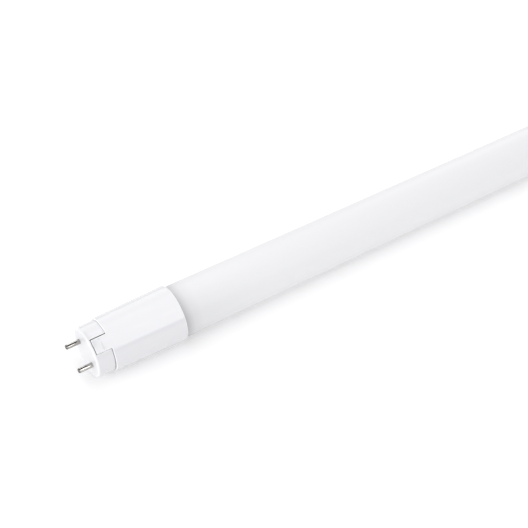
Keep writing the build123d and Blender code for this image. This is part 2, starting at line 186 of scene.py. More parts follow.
def piece(name, bm, material, node_slot, *nodes):
    """Makes a finished piece from a bmesh drawn in millimetres, in the place of its CAD nodes."""
    bmesh.ops.scale(bm, vec=(MM, MM, MM), verts=bm.verts)
    bmesh.ops.remove_doubles(bm, verts=bm.verts, dist=1e-7)
    bmesh.ops.recalc_face_normals(bm, faces=bm.faces)
    for face in bm.faces:
        face.smooth = True
    for edge in bm.edges:
        if edge.is_manifold:
            edge.smooth = edge.calc_face_angle() < CREASE
    mesh = bpy.data.meshes.new(name)
    bm.to_mesh(mesh)
    bm.free()
    obj = bpy.data.objects.new(name, mesh)
    bpy.context.scene.collection.objects.link(obj)
    mesh.materials.append(material)
    even = obj.modifiers.new("even_shading", "WEIGHTED_NORMAL")
    even.keep_sharp = True
    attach(obj, "root")
    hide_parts(*nodes)


def spun(outline, steps=360, start=0.0):
    """A wall spun once round the lamp's axis from an outline of (station, radius) corners."""
    bm = bmesh.new()
    corners = [bm.verts.new((x, r * cos(start), r * sin(start))) for x, r in outline]
    for a, b in zip(corners, corners[1:]):
        bm.edges.new((a, b))
    if outline[0][1] > 0 and outline[-1][1] > 0:
        bm.edges.new((corners[-1], corners[0]))
    drawn = bm.verts[:] + bm.edges[:]
    bmesh.ops.spin(
        bm, geom=drawn, cent=(0, 0, 0), axis=(1, 0, 0), angle=tau, steps=steps, use_merge=True
    )
    bmesh.ops.remove_doubles(bm, verts=bm.verts, dist=1e-4)
    bmesh.ops.recalc_face_normals(bm, faces=bm.faces)
    return bm


def grain_group():
    """Fine moulding or drawing texture: a varied roughness and a height for a bump."""
    group = bpy.data.node_groups.new("moulded_grain", "ShaderNodeTree")
    for label, kind, value in (
        ("Vector", "NodeSocketVector", None),
        ("Scale", "NodeSocketFloat", 400.0),
        ("Roughness", "NodeSocketFloat", 0.3),
        ("Variation", "NodeSocketFloat", 0.05),
    ):
        socket = group.interface.new_socket(name=label, in_out="INPUT", socket_type=kind)
        if value is not None:
            socket.default_value = value
    group.interface.new_socket(name="Roughness", in_out="OUTPUT", socket_type="NodeSocketFloat")
    group.interface.new_socket(name="Height", in_out="OUTPUT", socket_type="NodeSocketFloat")
    nodes, links = group.nodes, group.links
    given = nodes.new("NodeGroupInput")
    result = nodes.new("NodeGroupOutput")
    fine = nodes.new("ShaderNodeTexNoise")
    fine.inputs["Detail"].default_value = 3.0
    cloudy = nodes.new("ShaderNodeTexNoise")
    cloudy.inputs["Scale"].default_value = 30.0
    swing = nodes.new("ShaderNodeMath")
    swing.operation = "SUBTRACT"
    swing.inputs[1].default_value = 0.5
    spread = nodes.new("ShaderNodeMath")
    spread.operation = "MULTIPLY_ADD"
    links.new(given.outputs["Vector"], fine.inputs["Vector"])
    links.new(given.outputs["Scale"], fine.inputs["Scale"])
    links.new(given.outputs["Vector"], cloudy.inputs["Vector"])
    links.new(cloudy.outputs["Fac"], swing.inputs[0])
    links.new(swing.outputs[0], spread.inputs[0])
    links.new(given.outputs["Variation"], spread.inputs[1])
    links.new(given.outputs["Roughness"], spread.inputs[2])
    links.new(spread.outputs[0], result.inputs["Roughness"])
    links.new(fine.outputs["Fac"], result.inputs["Height"])
    return group


moulded_grain = grain_group()


def finish_nodes(name, stretch=(1, 1, 1)):
    """A new material with its shader and Object coordinates, stretched along the axes."""
    material = bpy.data.materials.new(name)
    material.use_nodes = True
    nodes, links = material.node_tree.nodes, material.node_tree.links
    where = nodes.new("ShaderNodeTexCoord")
    turn = nodes.new("ShaderNodeMapping")
    turn.inputs["Scale"].default_value = stretch
    links.new(where.outputs["Object"], turn.inputs["Vector"])
    return material, nodes, links, nodes["Principled BSDF"], turn.outputs["Vector"]


def grained(name, tint, low, high, roughness, scale, bump, stretch=(1, 1, 1), variation=0.06):
    """A plastic whose colour drifts slightly between two shades, with fine surface grain."""
    material, nodes, links, shader, vector = finish_nodes(name, stretch)
    grain = nodes.new("ShaderNodeGroup")
    grain.node_tree = moulded_grain
    grain.inputs["Scale"].default_value = scale
    grain.inputs["Roughness"].default_value = roughness
    grain.inputs["Variation"].default_value = variation
    drift = nodes.new("ShaderNodeTexNoise")
    drift.inputs["Scale"].default_value = 14.0
    shade = nodes.new("ShaderNodeValToRGB")
    shade.color_ramp.elements[0].color = (tint[0] * low, tint[1] * low, tint[2] * low, 1)
    shade.color_ramp.elements[1].color = (tint[0] * high, tint[1] * high, tint[2] * high, 1)
    relief = nodes.new("ShaderNodeBump")
    relief.inputs["Strength"].default_value = bump
    relief.inputs["Distance"].default_value = 0.00005
    links.new(vector, grain.inputs["Vector"])
    links.new(vector, drift.inputs["Vector"])
    links.new(drift.outputs["Fac"], shade.inputs["Fac"])
    links.new(shade.outputs["Color"], shader.inputs["Base Color"])
    links.new(grain.outputs["Roughness"], shader.inputs["Roughness"])
    links.new(grain.outputs["Height"], relief.inputs["Height"])
    links.new(relief.outputs["Normal"], shader.inputs["Normal"])
    return material, shader


def end_mask_group():
    """A mask that changes between two distances from the lamp's middle, in metres, at both ends."""
    group = bpy.data.node_groups.new("toward_the_ends", "ShaderNodeTree")
    group.interface.new_socket(name="Vector", in_out="INPUT", socket_type="NodeSocketVector")
    for label, value in (("Start", 0.0), ("Stop", 0.3), ("Most", 1.0)):
        socket = group.interface.new_socket(name=label, in_out="INPUT", socket_type="NodeSocketFloat")
        socket.default_value = value
    group.interface.new_socket(name="Amount", in_out="OUTPUT", socket_type="NodeSocketFloat")
    nodes, links = group.nodes, group.links
    given = nodes.new("NodeGroupInput")
    result = nodes.new("NodeGroupOutput")
    split = nodes.new("ShaderNodeSeparateXYZ")
    length = nodes.new("ShaderNodeMath")
    length.operation = "ABSOLUTE"
    rise = nodes.new("ShaderNodeMapRange")
    links.new(given.outputs["Vector"], split.inputs["Vector"])
    links.new(split.outputs["X"], length.inputs[0])
    links.new(length.outputs[0], rise.inputs["Value"])
    links.new(given.outputs["Start"], rise.inputs["From Min"])
    links.new(given.outputs["Stop"], rise.inputs["From Max"])
    links.new(given.outputs["Most"], rise.inputs["To Max"])
    links.new(rise.outputs["Result"], result.inputs["Amount"])
    return group


toward_the_ends = end_mask_group()


def end_mask(nodes, links, start, stop, most=1.0):
    """The mask toward the lamp's ends, placed in a material."""
    where = nodes.new("ShaderNodeTexCoord")
    mask = nodes.new("ShaderNodeGroup")
    mask.node_tree = toward_the_ends
    mask.inputs["Start"].default_value = start
    mask.inputs["Stop"].default_value = stop
    mask.inputs["Most"].default_value = most
    links.new(where.outputs["Object"], mask.inputs["Vector"])
    return mask.outputs["Amount"]


def shade_ramp(nodes, stops):
    """A grey ramp through (place, value) stops."""
    ramp = nodes.new("ShaderNodeValToRGB")
    first, last = ramp.color_ramp.elements
    first.position, last.position = stops[0][0], stops[-1][0]
    first.color = (stops[0][1],) * 3 + (1,)
    last.color = (stops[-1][1],) * 3 + (1,)
    for place, value in stops[1:-1]:
        ramp.color_ramp.elements.new(place).color = (value,) * 3 + (1,)
    return ramp


opal, opal_shader = grained(
    "opal_diffuser", (0.985, 0.985, 1.0), 0.785, 0.8, 0.42, 900.0, 0.05, stretch=(0.15, 1, 1)
)
opal_shader.inputs["IOR"].default_value = 1.5
# painted shade: the wall is painted darker just beside each cap's rim, as the rim's shadow, and darker
# on its lower side, most near the caps; this fades along the tube, sooner on the crown than lower down
nodes, links = opal.node_tree.nodes, opal.node_tree.links
inward = end_mask(nodes, links, CAP_MOUTH, SHADE_PAINT_END)
where = nodes.new("ShaderNodeTexCoord")
split = nodes.new("ShaderNodeSeparateXYZ")
level = nodes.new("ShaderNodeMapRange")
level.inputs["From Min"].default_value = -TUBE_RADIUS * MM
level.inputs["From Max"].default_value = TUBE_RADIUS * MM
links.new(where.outputs["Object"], split.inputs["Vector"])
links.new(split.outputs["Z"], level.inputs["Value"])
# ring: a painted shadow beside the rim; depth and below: painted shade on the lower side, strongest
# near the caps
ring = shade_ramp(nodes, ((0, 0.76), (0.02, 0.82), (0.045, 0.93), (0.09, 0.985), (0.2, 1)))
depth = shade_ramp(nodes, ((0, 0.19), (0.05, 0.13), (0.1, 0.1), (0.25, 0.07), (0.45, 0.035), (1, 0.03)))
below = shade_ramp(nodes, ((0.6, 1), (0.75, 0.93), (0.88, 0.68), (0.97, 0.25), (1, 0)))
amount = nodes.new("ShaderNodeMath")
amount.operation = "MULTIPLY"
kept = nodes.new("ShaderNodeMath")
kept.operation = "SUBTRACT"
kept.inputs[0].default_value = 1.0
both = nodes.new("ShaderNodeMath")
both.operation = "MULTIPLY"
mix = nodes.new("ShaderNodeMix")
mix.data_type = "RGBA"
mix.blend_type = "MULTIPLY"
mix.inputs["Factor"].default_value = 1.0
links.new(inward, ring.inputs["Fac"])
links.new(inward, depth.inputs["Fac"])
links.new(level.outputs["Result"], below.inputs["Fac"])
links.new(depth.outputs["Color"], amount.inputs[0])
links.new(below.outputs["Color"], amount.inputs[1])
links.new(amount.outputs[0], kept.inputs[1])
links.new(ring.outputs["Color"], both.inputs[0])
links.new(kept.outputs[0], both.inputs[1])
links.new(opal_shader.inputs["Base Color"].links[0].from_socket, mix.inputs["A"])
links.new(both.outputs[0], mix.inputs["B"])
links.new(mix.outputs["Result"], opal_shader.inputs["Base Color"])
tube = spun(
    [
        (-TUBE_HALF, TUBE_RADIUS),
        (TUBE_HALF, TUBE_RADIUS),
        (TUBE_HALF, TUBE_RADIUS - TUBE_WALL),
        (-TUBE_HALF, TUBE_RADIUS - TUBE_WALL),
    ],
    steps=192,
)
for side in (-1, 1):
    for rail_level in RAIL_LEVELS:
        rail = bmesh.ops.create_cube(tube, size=1.0)["verts"]
        bmesh.ops.scale(tube, vec=(2 * TUBE_HALF, RAIL_WIDTH, RAIL_THICKNESS), verts=rail)
        bmesh.ops.translate(tube, vec=(0, side * (RAIL_TIP + RAIL_WIDTH / 2), rail_level), verts=rail)
piece("opal_tube", tube, opal, "opal_diffuser", "diffuser_tube")

# Cap bodies: long tapered sleeves of glossy white plastic, glued over the tube's ends. A tongue
# reaches forward over the pin end, with a raised arrow and a dot that show how it locks.
FACE = 294.9
CAP_FRONT = 8.9
CAP_RIM = 45.7
FRONT_RADIUS = 13.15
RIM_RADIUS = 14.0
BORE_RADIUS = 11.95
SOCKET_RADIUS = TUBE_RADIUS + 0.08
SOCKET_FLOOR = 31.7
GROOVE = (11.35, 12.75)
GROOVE_DEPTH = 0.2
TONGUE_AT = radians(127.8)
TONGUE_HALF = 16
TONGUE_REACH = 7.45
PINS_AT = radians(23.0)
RIM_TURN = radians(40)
# degrees off the tongue's middle where the painted highlight on the edges is full
FULL_HIGHLIGHT = 25
MARK_HEIGHT = 0.15
MARK_ROOT = -0.1
MARK_RADIUS = FRONT_RADIUS - 0.09
# painted shade on the raised marks
MARK_TONE = -0.12
DOT_RADIUS = 0.38
DOT_AT = 4.9
DOT_TURN = -11.5
ARROW_SHAFT = [(turn, 5.15, 5.6) for turn in (-4, -1, 2, 5, 8)]
ARROW_HEAD = [(8, 4.7, 6.05), (10.5, 5.05, 5.7), (13, 5.37, 5.38)]
BOARD_RIB = (14.0, 3.2, 1.1)
BOARD_RIB_AT = (24.7, 10.5, 1.25)
# in metres from the lamp's middle: where the end face's matt starts, and where it is full
MATT_START = 0.29475
MATT_FULL = 0.29485


def ring_edges(bm, station, radius, reach=0.02):
    """The edges that run round the axis at a station and a radius."""
    found = []
    for edge in bm.edges:
        off = [max(abs(v.co.x - station), abs(v.co.yz.length - radius)) for v in edge.verts]
        if max(off) < reach:
            found.append(edge)
    return found


def off_tongue(face):
    """How many degrees a face's middle lies round from the tongue's middle."""
    middle = face.calc_center_median()
    return degrees((atan2(middle.z, middle.y) - TONGUE_AT + pi) % tau - pi)


def edge_highlight(face):
    """How strongly a painted highlight lies on a face of an edge: not at the tongue's middle, fully
    away from it.
    """
    return min(1.0, abs(off_tongue(face)) / FULL_HIGHLIGHT)


def set_tone(bm, faces, tone):
    """Marks faces for the cap plastic: above 0 a painted highlight on an edge, below 0 painted shade in
    a gap or on a mark.
    """
    layer = bm.loops.layers.float.get("tone") or bm.loops.layers.float.new("tone")
    for face in faces:
        for loop in face.loops:
            loop[layer] = tone(face) if callable(tone) else tone


def soften(bm, edges, width, segments=3, tone=0.0):
    """Rounds edges over as a moulding's are."""
    made = bmesh.ops.bevel(
        bm,
        geom=edges,
        offset=width,
        segments=segments,
        profile=0.5,
        affect="EDGES",
        material=-1,
        clamp_overlap=True,
    )
    if tone:
        set_tone(bm, made["faces"], tone)


def wrapped_mark(bm, stations):
    """A raised mark bent round the cap, from rows of a turn off the tongue's middle in degrees and
    a low and a high station."""
    rows = [
        [bm.verts.new((low, turn, 0)), bm.verts.new((high, turn, 0))] for turn, low, high in stations
    ]
    flat = [bm.faces.new((a[0], a[1], b[1], b[0])) for a, b in zip(rows, rows[1:])]
    made = bmesh.ops.extrude_face_region(bm, geom=flat)["geom"]
    top = [v for v in made if isinstance(v, bmesh.types.BMVert)]
    for v in [v for row in rows for v in row] + top:
        angle = TONGUE_AT + radians(v.co.y)
        r = MARK_RADIUS + (MARK_HEIGHT if v in top else MARK_ROOT)
        v.co = Vector((v.co.x, r * cos(angle), r * sin(angle)))
    # the marks are painted a little darker: painted shade
    set_tone(bm, {face for v in top for face in v.link_faces}, MARK_TONE)


def cap_body():
    """One cap body, drawn with the lamp's end face at station 0."""
    bm = spun(
        [
            (CAP_FRONT, BORE_RADIUS),
            (CAP_FRONT, FRONT_RADIUS),
            (CAP_RIM, RIM_RADIUS),
            (CAP_RIM, SOCKET_RADIUS),
            (SOCKET_FLOOR, SOCKET_RADIUS),
            (SOCKET_FLOOR, BORE_RADIUS),
            (GROOVE[1], BORE_RADIUS),
            (GROOVE[1], BORE_RADIUS + GROOVE_DEPTH),
            (GROOVE[0], BORE_RADIUS + GROOVE_DEPTH),
            (GROOVE[0], BORE_RADIUS),
        ],
        start=TONGUE_AT,
    )
    lip = [
        f
        for f in bm.faces
        if all(abs(v.co.x - CAP_FRONT) < 0.01 for v in f.verts) and abs(off_tongue(f)) < TONGUE_HALF
    ]
    made = bmesh.ops.extrude_face_region(bm, geom=lip)["geom"]
    tip = [v for v in made if isinstance(v, bmesh.types.BMVert)]
    bmesh.ops.delete(bm, geom=lip, context="FACES")
    bmesh.ops.translate(bm, vec=(-TONGUE_REACH, 0, 0), verts=tip)
    slope = (RIM_RADIUS - FRONT_RADIUS) / (CAP_RIM - CAP_FRONT)
    taper = (FRONT_RADIUS - TONGUE_REACH * slope) / FRONT_RADIUS
    outside = [v for v in tip if v.co.yz.length > BORE_RADIUS + 0.5]
    bmesh.ops.scale(bm, vec=(1, taper, taper), verts=outside)
    tip_x = CAP_FRONT - TONGUE_REACH
    corners = [
        e
        for e in bm.edges
        if all(abs(v.co.x - tip_x) < 0.01 for v in e.verts)
        and abs(e.verts[0].co.yz.length - e.verts[1].co.yz.length) > 0.5
        and len([f for f in e.link_faces if abs(f.normal.x) < 0.5]) == 1
    ]
    soften(bm, corners, width=0.5, segments=5)
    rims = [e for e in bm.edges if e.is_manifold and e.calc_face_angle() > RIM_TURN]
    outer = [
        e
        for e in rims
        if min(v.co.yz.length for v in e.verts) > FRONT_RADIUS - 0.4
        and max(v.co.x for v in e.verts) < CAP_FRONT + 1
    ]
    # painted highlights on the rounded front edges, fading out toward the tongue's middle, and on the
    # rounded rim
    soften(bm, outer, width=0.22, tone=edge_highlight)
    soften(bm, ring_edges(bm, CAP_RIM, RIM_RADIUS), width=0.35, segments=4, tone=0.8)
    soften(bm, ring_edges(bm, CAP_RIM, SOCKET_RADIUS), width=0.15, segments=2)
    for side in (-1, 1):
        for level in (-1, 1):
            rib = bmesh.ops.create_cube(bm, size=1.0)["verts"]
            bmesh.ops.scale(bm, vec=BOARD_RIB, verts=rib)
            place = (BOARD_RIB_AT[0], side * BOARD_RIB_AT[1], level * BOARD_RIB_AT[2])
            bmesh.ops.translate(bm, vec=place, verts=rib)
    circle = [(-DOT_RADIUS * cos(pi * i / 8), DOT_RADIUS * sin(pi * i / 8)) for i in range(9)]
    dot = [(DOT_TURN + degrees(t / FRONT_RADIUS), DOT_AT - half, DOT_AT + half) for t, half in circle]
    for mark in (dot, ARROW_SHAFT, ARROW_HEAD):
        wrapped_mark(bm, mark)
    return bm


white_cap, white_cap_shader = grained("white_cap", (0.975, 0.975, 1.0), 0.715, 0.73, 0.13, 500.0, 0.03)
white_cap_shader.inputs["IOR"].default_value = 1.55
nodes, links = white_cap.node_tree.nodes, white_cap.node_tree.links
# painted light on the cap plastic: tone above 0 lightens it toward white, a painted highlight on edges
tone = nodes.new("ShaderNodeAttribute")
tone.attribute_name = "tone"
painted_highlight = nodes.new("ShaderNodeClamp")
lighter = nodes.new("ShaderNodeMix")
lighter.data_type = "RGBA"
lighter.inputs["B"].default_value = (0.97, 0.97, 0.98, 1)
# tone below 0 darkens the plastic toward near black: painted shade in the pocket's gap and on the marks
painted_shade = nodes.new("ShaderNodeMapRange")
painted_shade.inputs["From Min"].default_value = 0.0
painted_shade.inputs["From Max"].default_value = -1.0
darker = nodes.new("ShaderNodeMix")
darker.data_type = "RGBA"
darker.inputs["B"].default_value = (0.1, 0.1, 0.1, 1)
# the flat end faces are moulded matt, unlike the polished sleeve
rougher = nodes.new("ShaderNodeMath")
rougher.operation = "ADD"
links.new(white_cap_shader.inputs["Roughness"].links[0].from_socket, rougher.inputs[0])
links.new(end_mask(nodes, links, MATT_START, MATT_FULL, 0.25), rougher.inputs[1])
links.new(rougher.outputs[0], white_cap_shader.inputs["Roughness"])
links.new(tone.outputs["Fac"], painted_highlight.inputs["Value"])
links.new(tone.outputs["Fac"], painted_shade.inputs["Value"])
links.new(painted_highlight.outputs["Result"], lighter.inputs["Factor"])
links.new(painted_shade.outputs["Result"], darker.inputs["Factor"])
links.new(white_cap_shader.inputs["Base Color"].links[0].from_socket, lighter.inputs["A"])
links.new(lighter.outputs["Result"], darker.inputs["A"])
links.new(darker.outputs["Result"], white_cap_shader.inputs["Base Color"])
LEVEL_PINS = Matrix.Rotation(-PINS_AT, 4, "X")
TILT_PINS = Matrix.Rotation(PINS_AT, 4, "X")
END_FOR_END = TILT_PINS @ Matrix.Rotation(pi, 4, "Z") @ LEVEL_PINS
PLACES = {
    "near": Matrix.Translation((-FACE, 0, 0)),
    "far": Matrix.Translation((FACE, 0, 0)) @ END_FOR_END,
}
for end, place in PLACES.items():
    body = cap_body()
    bmesh.ops.transform(body, matrix=place, verts=body.verts)
    piece(end + "_cap", body, white_cap, "white_cap", end + "_cap_body")

# Pin ends: the front mouldings that carry the pins. Each has a pocket that takes the tongue, and a
# spigot that snaps into its cap body behind a narrow gap.
SKIRT_RADIUS = 12.4
SKIRT_END = 8.55
SPIGOT_RADIUS = 11.85
SPIGOT_BORE = 10.4
SPIGOT_END = 15.05
FACE_WALL = 2.4
SNAP_RIB = (11.45, 11.65, 12.45, 12.65)
SNAP_HEIGHT = 0.2
POCKET_START = 1.2
POCKET_DEEP_END = 8.1
POCKET_FLOOR = 10.9
SEAM_WIDEST = radians(195)
SEAM_MIDDLE = 0.33
SEAM_SWING = 0.45
SEAM_CLOSED = 0.345
BOSS_RADIUS = 2.8
BOSS_DEPTH = 2.2
BOSS_AT = 3.3
# painted shade on the pocket's floor and walls
GAP_TONE = -0.8
WIDE_GAP = 3.1
NARROW_GAP = 0.8
PIN_SIDE = 6.35


def pin_end():
    """One pin end, drawn with its face at station 0."""
    bm = spun(
        [
            (0, 0),
            (0, SKIRT_RADIUS),
            (POCKET_START, SKIRT_RADIUS),
            (POCKET_DEEP_END, SKIRT_RADIUS),
            (SKIRT_END, SKIRT_RADIUS),
            (SKIRT_END, SPIGOT_RADIUS),
            (SNAP_RIB[0], SPIGOT_RADIUS),
            (SNAP_RIB[1], SPIGOT_RADIUS + SNAP_HEIGHT),
            (SNAP_RIB[2], SPIGOT_RADIUS + SNAP_HEIGHT),
            (SNAP_RIB[3], SPIGOT_RADIUS),
            (SPIGOT_END, SPIGOT_RADIUS),
            (SPIGOT_END, SPIGOT_BORE),
            (FACE_WALL, SPIGOT_BORE),
            (FACE_WALL, 0),
        ],
        start=TONGUE_AT,
    )
    pocket = []
    for f in bm.faces:
        middle = f.calc_center_median()
        along_skirt = POCKET_START < middle.x < SKIRT_END + 0.01
        on_skirt = along_skirt and middle.yz.length > SPIGOT_RADIUS + 0.1
        if on_skirt and -TONGUE_HALF - WIDE_GAP < off_tongue(f) < TONGUE_HALF + NARROW_GAP:
            pocket.append(f)
    made = bmesh.ops.extrude_face_region(bm, geom=pocket)["geom"]
    floor_faces = [f for f in made if isinstance(f, bmesh.types.BMFace)]
    walls = {f for floor_face in floor_faces for e in floor_face.edges for f in e.link_faces}
    # the pocket's floor and walls are painted darker: painted shade in the gap
    set_tone(bm, set(floor_faces) | walls, GAP_TONE)
    for v in made:
        if isinstance(v, bmesh.types.BMVert):
            floor_radius = SPIGOT_RADIUS if v.co.x > POCKET_DEEP_END + 0.1 else POCKET_FLOOR
            v.co.yz = v.co.yz.normalized() * floor_radius
    bmesh.ops.delete(bm, geom=pocket, context="FACES")
    bmesh.ops.remove_doubles(bm, verts=bm.verts, dist=1e-3)
    bmesh.ops.dissolve_degenerate(bm, edges=bm.edges, dist=1e-4)
    # painted highlight on the skirt's rounded front edge
    soften(bm, ring_edges(bm, 0, SKIRT_RADIUS), width=0.9, segments=6, tone=0.3)
    edge_of_pocket = [
        e
        for e in bm.edges
        if e.is_manifold
        and e.calc_face_angle() > RIM_TURN
        and min(v.co.yz.length for v in e.verts) > SKIRT_RADIUS - 0.05
        and min(v.co.x for v in e.verts) > 1.0
    ]
    # painted highlights on the rounded edges of the pocket and the seam, fading out toward the tongue's
    # middle
    soften(bm, edge_of_pocket, width=0.2, tone=edge_highlight)
    # the pin end sits slightly askew, so the seam is widest low on the side and closes over the top
    for v in bm.verts:
        if SKIRT_END - 0.3 < v.co.x < SKIRT_END + 0.01:
            swing = SEAM_SWING * cos(atan2(v.co.z, v.co.y) - SEAM_WIDEST)
            v.co.x += min(SEAM_CLOSED, max(0.0, SEAM_MIDDLE - swing))
    for side in (-1, 1):
        boss = bmesh.ops.create_cone(
            bm, cap_ends=True, segments=48, radius1=BOSS_RADIUS, radius2=BOSS_RADIUS, depth=BOSS_DEPTH
        )["verts"]
        bmesh.ops.rotate(bm, verts=boss, cent=(0, 0, 0), matrix=Matrix.Rotation(pi / 2, 3, "Y"))
        middle = (BOSS_AT, side * PIN_SIDE * cos(PINS_AT), side * PIN_SIDE * sin(PINS_AT))
        bmesh.ops.translate(bm, verts=boss, vec=middle)
    return bm


for end, place in PLACES.items():
    front = pin_end()
    bmesh.ops.transform(front, matrix=place, verts=front.verts)
    piece(end + "_front", front, white_cap, "white_cap", end + "_pin_end")

# Contact pins: turned brass with a bright nickel plate and a rounded tip, pressed through the face
# wall of the pin end. A collar stops each behind its boss, and its tail is soldered.
PIN_RADIUS = 1.175
PIN_REACH = 7.1
PIN_OUTLINE = (
    (-PIN_REACH, 0),
    (-PIN_REACH, PIN_RADIUS),
    (0.3, PIN_RADIUS),
    (0.3, 1.4),
    (4.4, 1.4),
    (4.4, 1.7),
    (5.2, 1.7),
    (5.2, 0.8),
    (7.0, 0.8),
    (7.0, 0),
)
# in metres from the lamp's middle: where the painted dark reflection on the tips starts, and where it
# is full
TIP_DARK_START = 0.3008
TIP_DARK_FULL = 0.3019
pin_metal, nodes, links, shader, vector = finish_nodes("pin_metal", (0.12, 1, 1))
shader.inputs["Metallic"].default_value = 1.0
shader.inputs["Specular Tint"].default_value = (0.3, 0.3, 0.3, 1)
turning = nodes.new("ShaderNodeTexNoise")
turning.inputs["Scale"].default_value = 2600.0
turning.inputs["Detail"].default_value = 4.0
dull = nodes.new("ShaderNodeMapRange")
dull.inputs["To Min"].default_value = 0.06
dull.inputs["To Max"].default_value = 0.2
colour = nodes.new("ShaderNodeValToRGB")
colour.color_ramp.elements[0].position = 0.35
colour.color_ramp.elements[1].position = 0.65
colour.color_ramp.elements[0].color = (0.38, 0.362, 0.34, 1)
colour.color_ramp.elements[1].color = (0.62, 0.605, 0.58, 1)
# the tips are painted darker: a painted dark reflection
dark_tips = nodes.new("ShaderNodeMix")
dark_tips.data_type = "RGBA"
dark_tips.inputs["B"].default_value = (0.12, 0.11, 0.1, 1)
links.new(end_mask(nodes, links, TIP_DARK_START, TIP_DARK_FULL, 0.8), dark_tips.inputs["Factor"])
links.new(colour.outputs["Color"], dark_tips.inputs["A"])
scored = nodes.new("ShaderNodeBump")
scored.inputs["Strength"].default_value = 0.25
scored.inputs["Distance"].default_value = 0.00004
links.new(vector, turning.inputs["Vector"])
links.new(turning.outputs["Fac"], dull.inputs["Value"])
links.new(dull.outputs["Result"], shader.inputs["Roughness"])
links.new(turning.outputs["Fac"], colour.inputs["Fac"])
links.new(dark_tips.outputs["Result"], shader.inputs["Base Color"])
links.new(turning.outputs["Fac"], scored.inputs["Height"])
links.new(scored.outputs["Normal"], shader.inputs["Normal"])
for end, place in PLACES.items():
    for which, side in (("back", 1), ("front", -1)):
        pin = spun(PIN_OUTLINE, steps=48)
        soften(pin, ring_edges(pin, -PIN_REACH, PIN_RADIUS), width=0.6, segments=6)
        shift = side if end == "near" else -side
        spot = (0, shift * PIN_SIDE * cos(PINS_AT), shift * PIN_SIDE * sin(PINS_AT))
        bmesh.ops.transform(pin, matrix=place @ Matrix.Translation(spot), verts=pin.verts)
        name = end + "_" + which
        piece(name + "_contact", pin, pin_metal, "pin_metal", name + "_pin")


# Glue rings: a bead of milky silicone between each tube end and its seat in the cap body. It is run
# in before the cap is pushed over the tube, and holds it for good.
def dress(material, *names):
    """Gives carried-over CAD nodes their finish."""
    for name in names:
        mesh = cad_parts[name].data
        mesh.materials.clear()
        mesh.materials.append(material)


glue, glue_shader = grained("glue", (0.95, 0.93, 0.86), 0.7, 0.86, 0.32, 260.0, 0.5, variation=0.12)
glue_shader.inputs["Subsurface Weight"].default_value = 0.15
glue_shader.inputs["Subsurface Radius"].default_value = (0.001, 0.001, 0.0008)
dress(glue, "near_glue_ring", "far_glue_ring")


# LED board and driver board: etched copper under solder mask, white over aluminium for the LEDs and
# green over glass cloth for the driver. The tracks show through the mask as faint raised bands.
def track_group():
    """Circuit tracks: a mask of the etched bands and a height for a bump."""
    group = bpy.data.node_groups.new("etched_tracks", "ShaderNodeTree")
    group.interface.new_socket(name="Vector", in_out="INPUT", socket_type="NodeSocketVector")
    scale = group.interface.new_socket(name="Scale", in_out="INPUT", socket_type="NodeSocketFloat")
    scale.default_value = 100.0
    group.interface.new_socket(name="Track", in_out="OUTPUT", socket_type="NodeSocketFloat")
    group.interface.new_socket(name="Height", in_out="OUTPUT", socket_type="NodeSocketFloat")
    nodes, links = group.nodes, group.links
    given = nodes.new("NodeGroupInput")
    result = nodes.new("NodeGroupOutput")
    pads = nodes.new("ShaderNodeTexBrick")
    pads.inputs["Color1"].default_value = (1, 1, 1, 1)
    pads.inputs["Color2"].default_value = (0.75, 0.75, 0.75, 1)
    pads.inputs["Mortar"].default_value = (0, 0, 0, 1)
    pads.inputs["Mortar Size"].default_value = 0.03
    pads.inputs["Mortar Smooth"].default_value = 0.2
    cloth = nodes.new("ShaderNodeTexNoise")
    cloth.inputs["Scale"].default_value = 1500.0
    height = nodes.new("ShaderNodeMath")
    height.operation = "MULTIPLY_ADD"
    height.inputs[1].default_value = 0.15
    links.new(given.outputs["Vector"], pads.inputs["Vector"])
    links.new(given.outputs["Scale"], pads.inputs["Scale"])
    links.new(given.outputs["Vector"], cloth.inputs["Vector"])
    links.new(cloth.outputs["Fac"], height.inputs[0])
    links.new(pads.outputs["Color"], height.inputs[2])
    links.new(pads.outputs["Color"], result.inputs["Track"])
    links.new(height.outputs[0], result.inputs["Height"])
    return group


etched_tracks = track_group()


def circuit_board(name, gap_colour, track_colour, scale, roughness):
    """Solder mask over tracks: the tracks' colour differs a little and they stand a little proud."""
    material, nodes, links, shader, vector = finish_nodes(name)
    tracks = nodes.new("ShaderNodeGroup")
    tracks.node_tree = etched_tracks
    tracks.inputs["Scale"].default_value = scale
    colour = nodes.new("ShaderNodeMix")
    colour.data_type = "RGBA"
    colour.inputs["A"].default_value = gap_colour
    colour.inputs["B"].default_value = track_colour
    relief = nodes.new("ShaderNodeBump")
    relief.inputs["Strength"].default_value = 0.4
    relief.inputs["Distance"].default_value = 0.00008
    shader.inputs["Roughness"].default_value = roughness
    links.new(vector, tracks.inputs["Vector"])
    links.new(tracks.outputs["Track"], colour.inputs["Factor"])
    links.new(colour.outputs["Result"], shader.inputs["Base Color"])
    links.new(tracks.outputs["Height"], relief.inputs["Height"])
    links.new(relief.outputs["Normal"], shader.inputs["Normal"])
    return material


white_board = circuit_board("white_board", (0.7, 0.71, 0.7, 1), (0.86, 0.87, 0.87, 1), 35.0, 0.3)
green_board = circuit_board("green_board", (0.02, 0.16, 0.06, 1), (0.05, 0.3, 0.12, 1), 160.0, 0.28)
dress(white_board, "led_board")
dress(green_board, "driver_board")

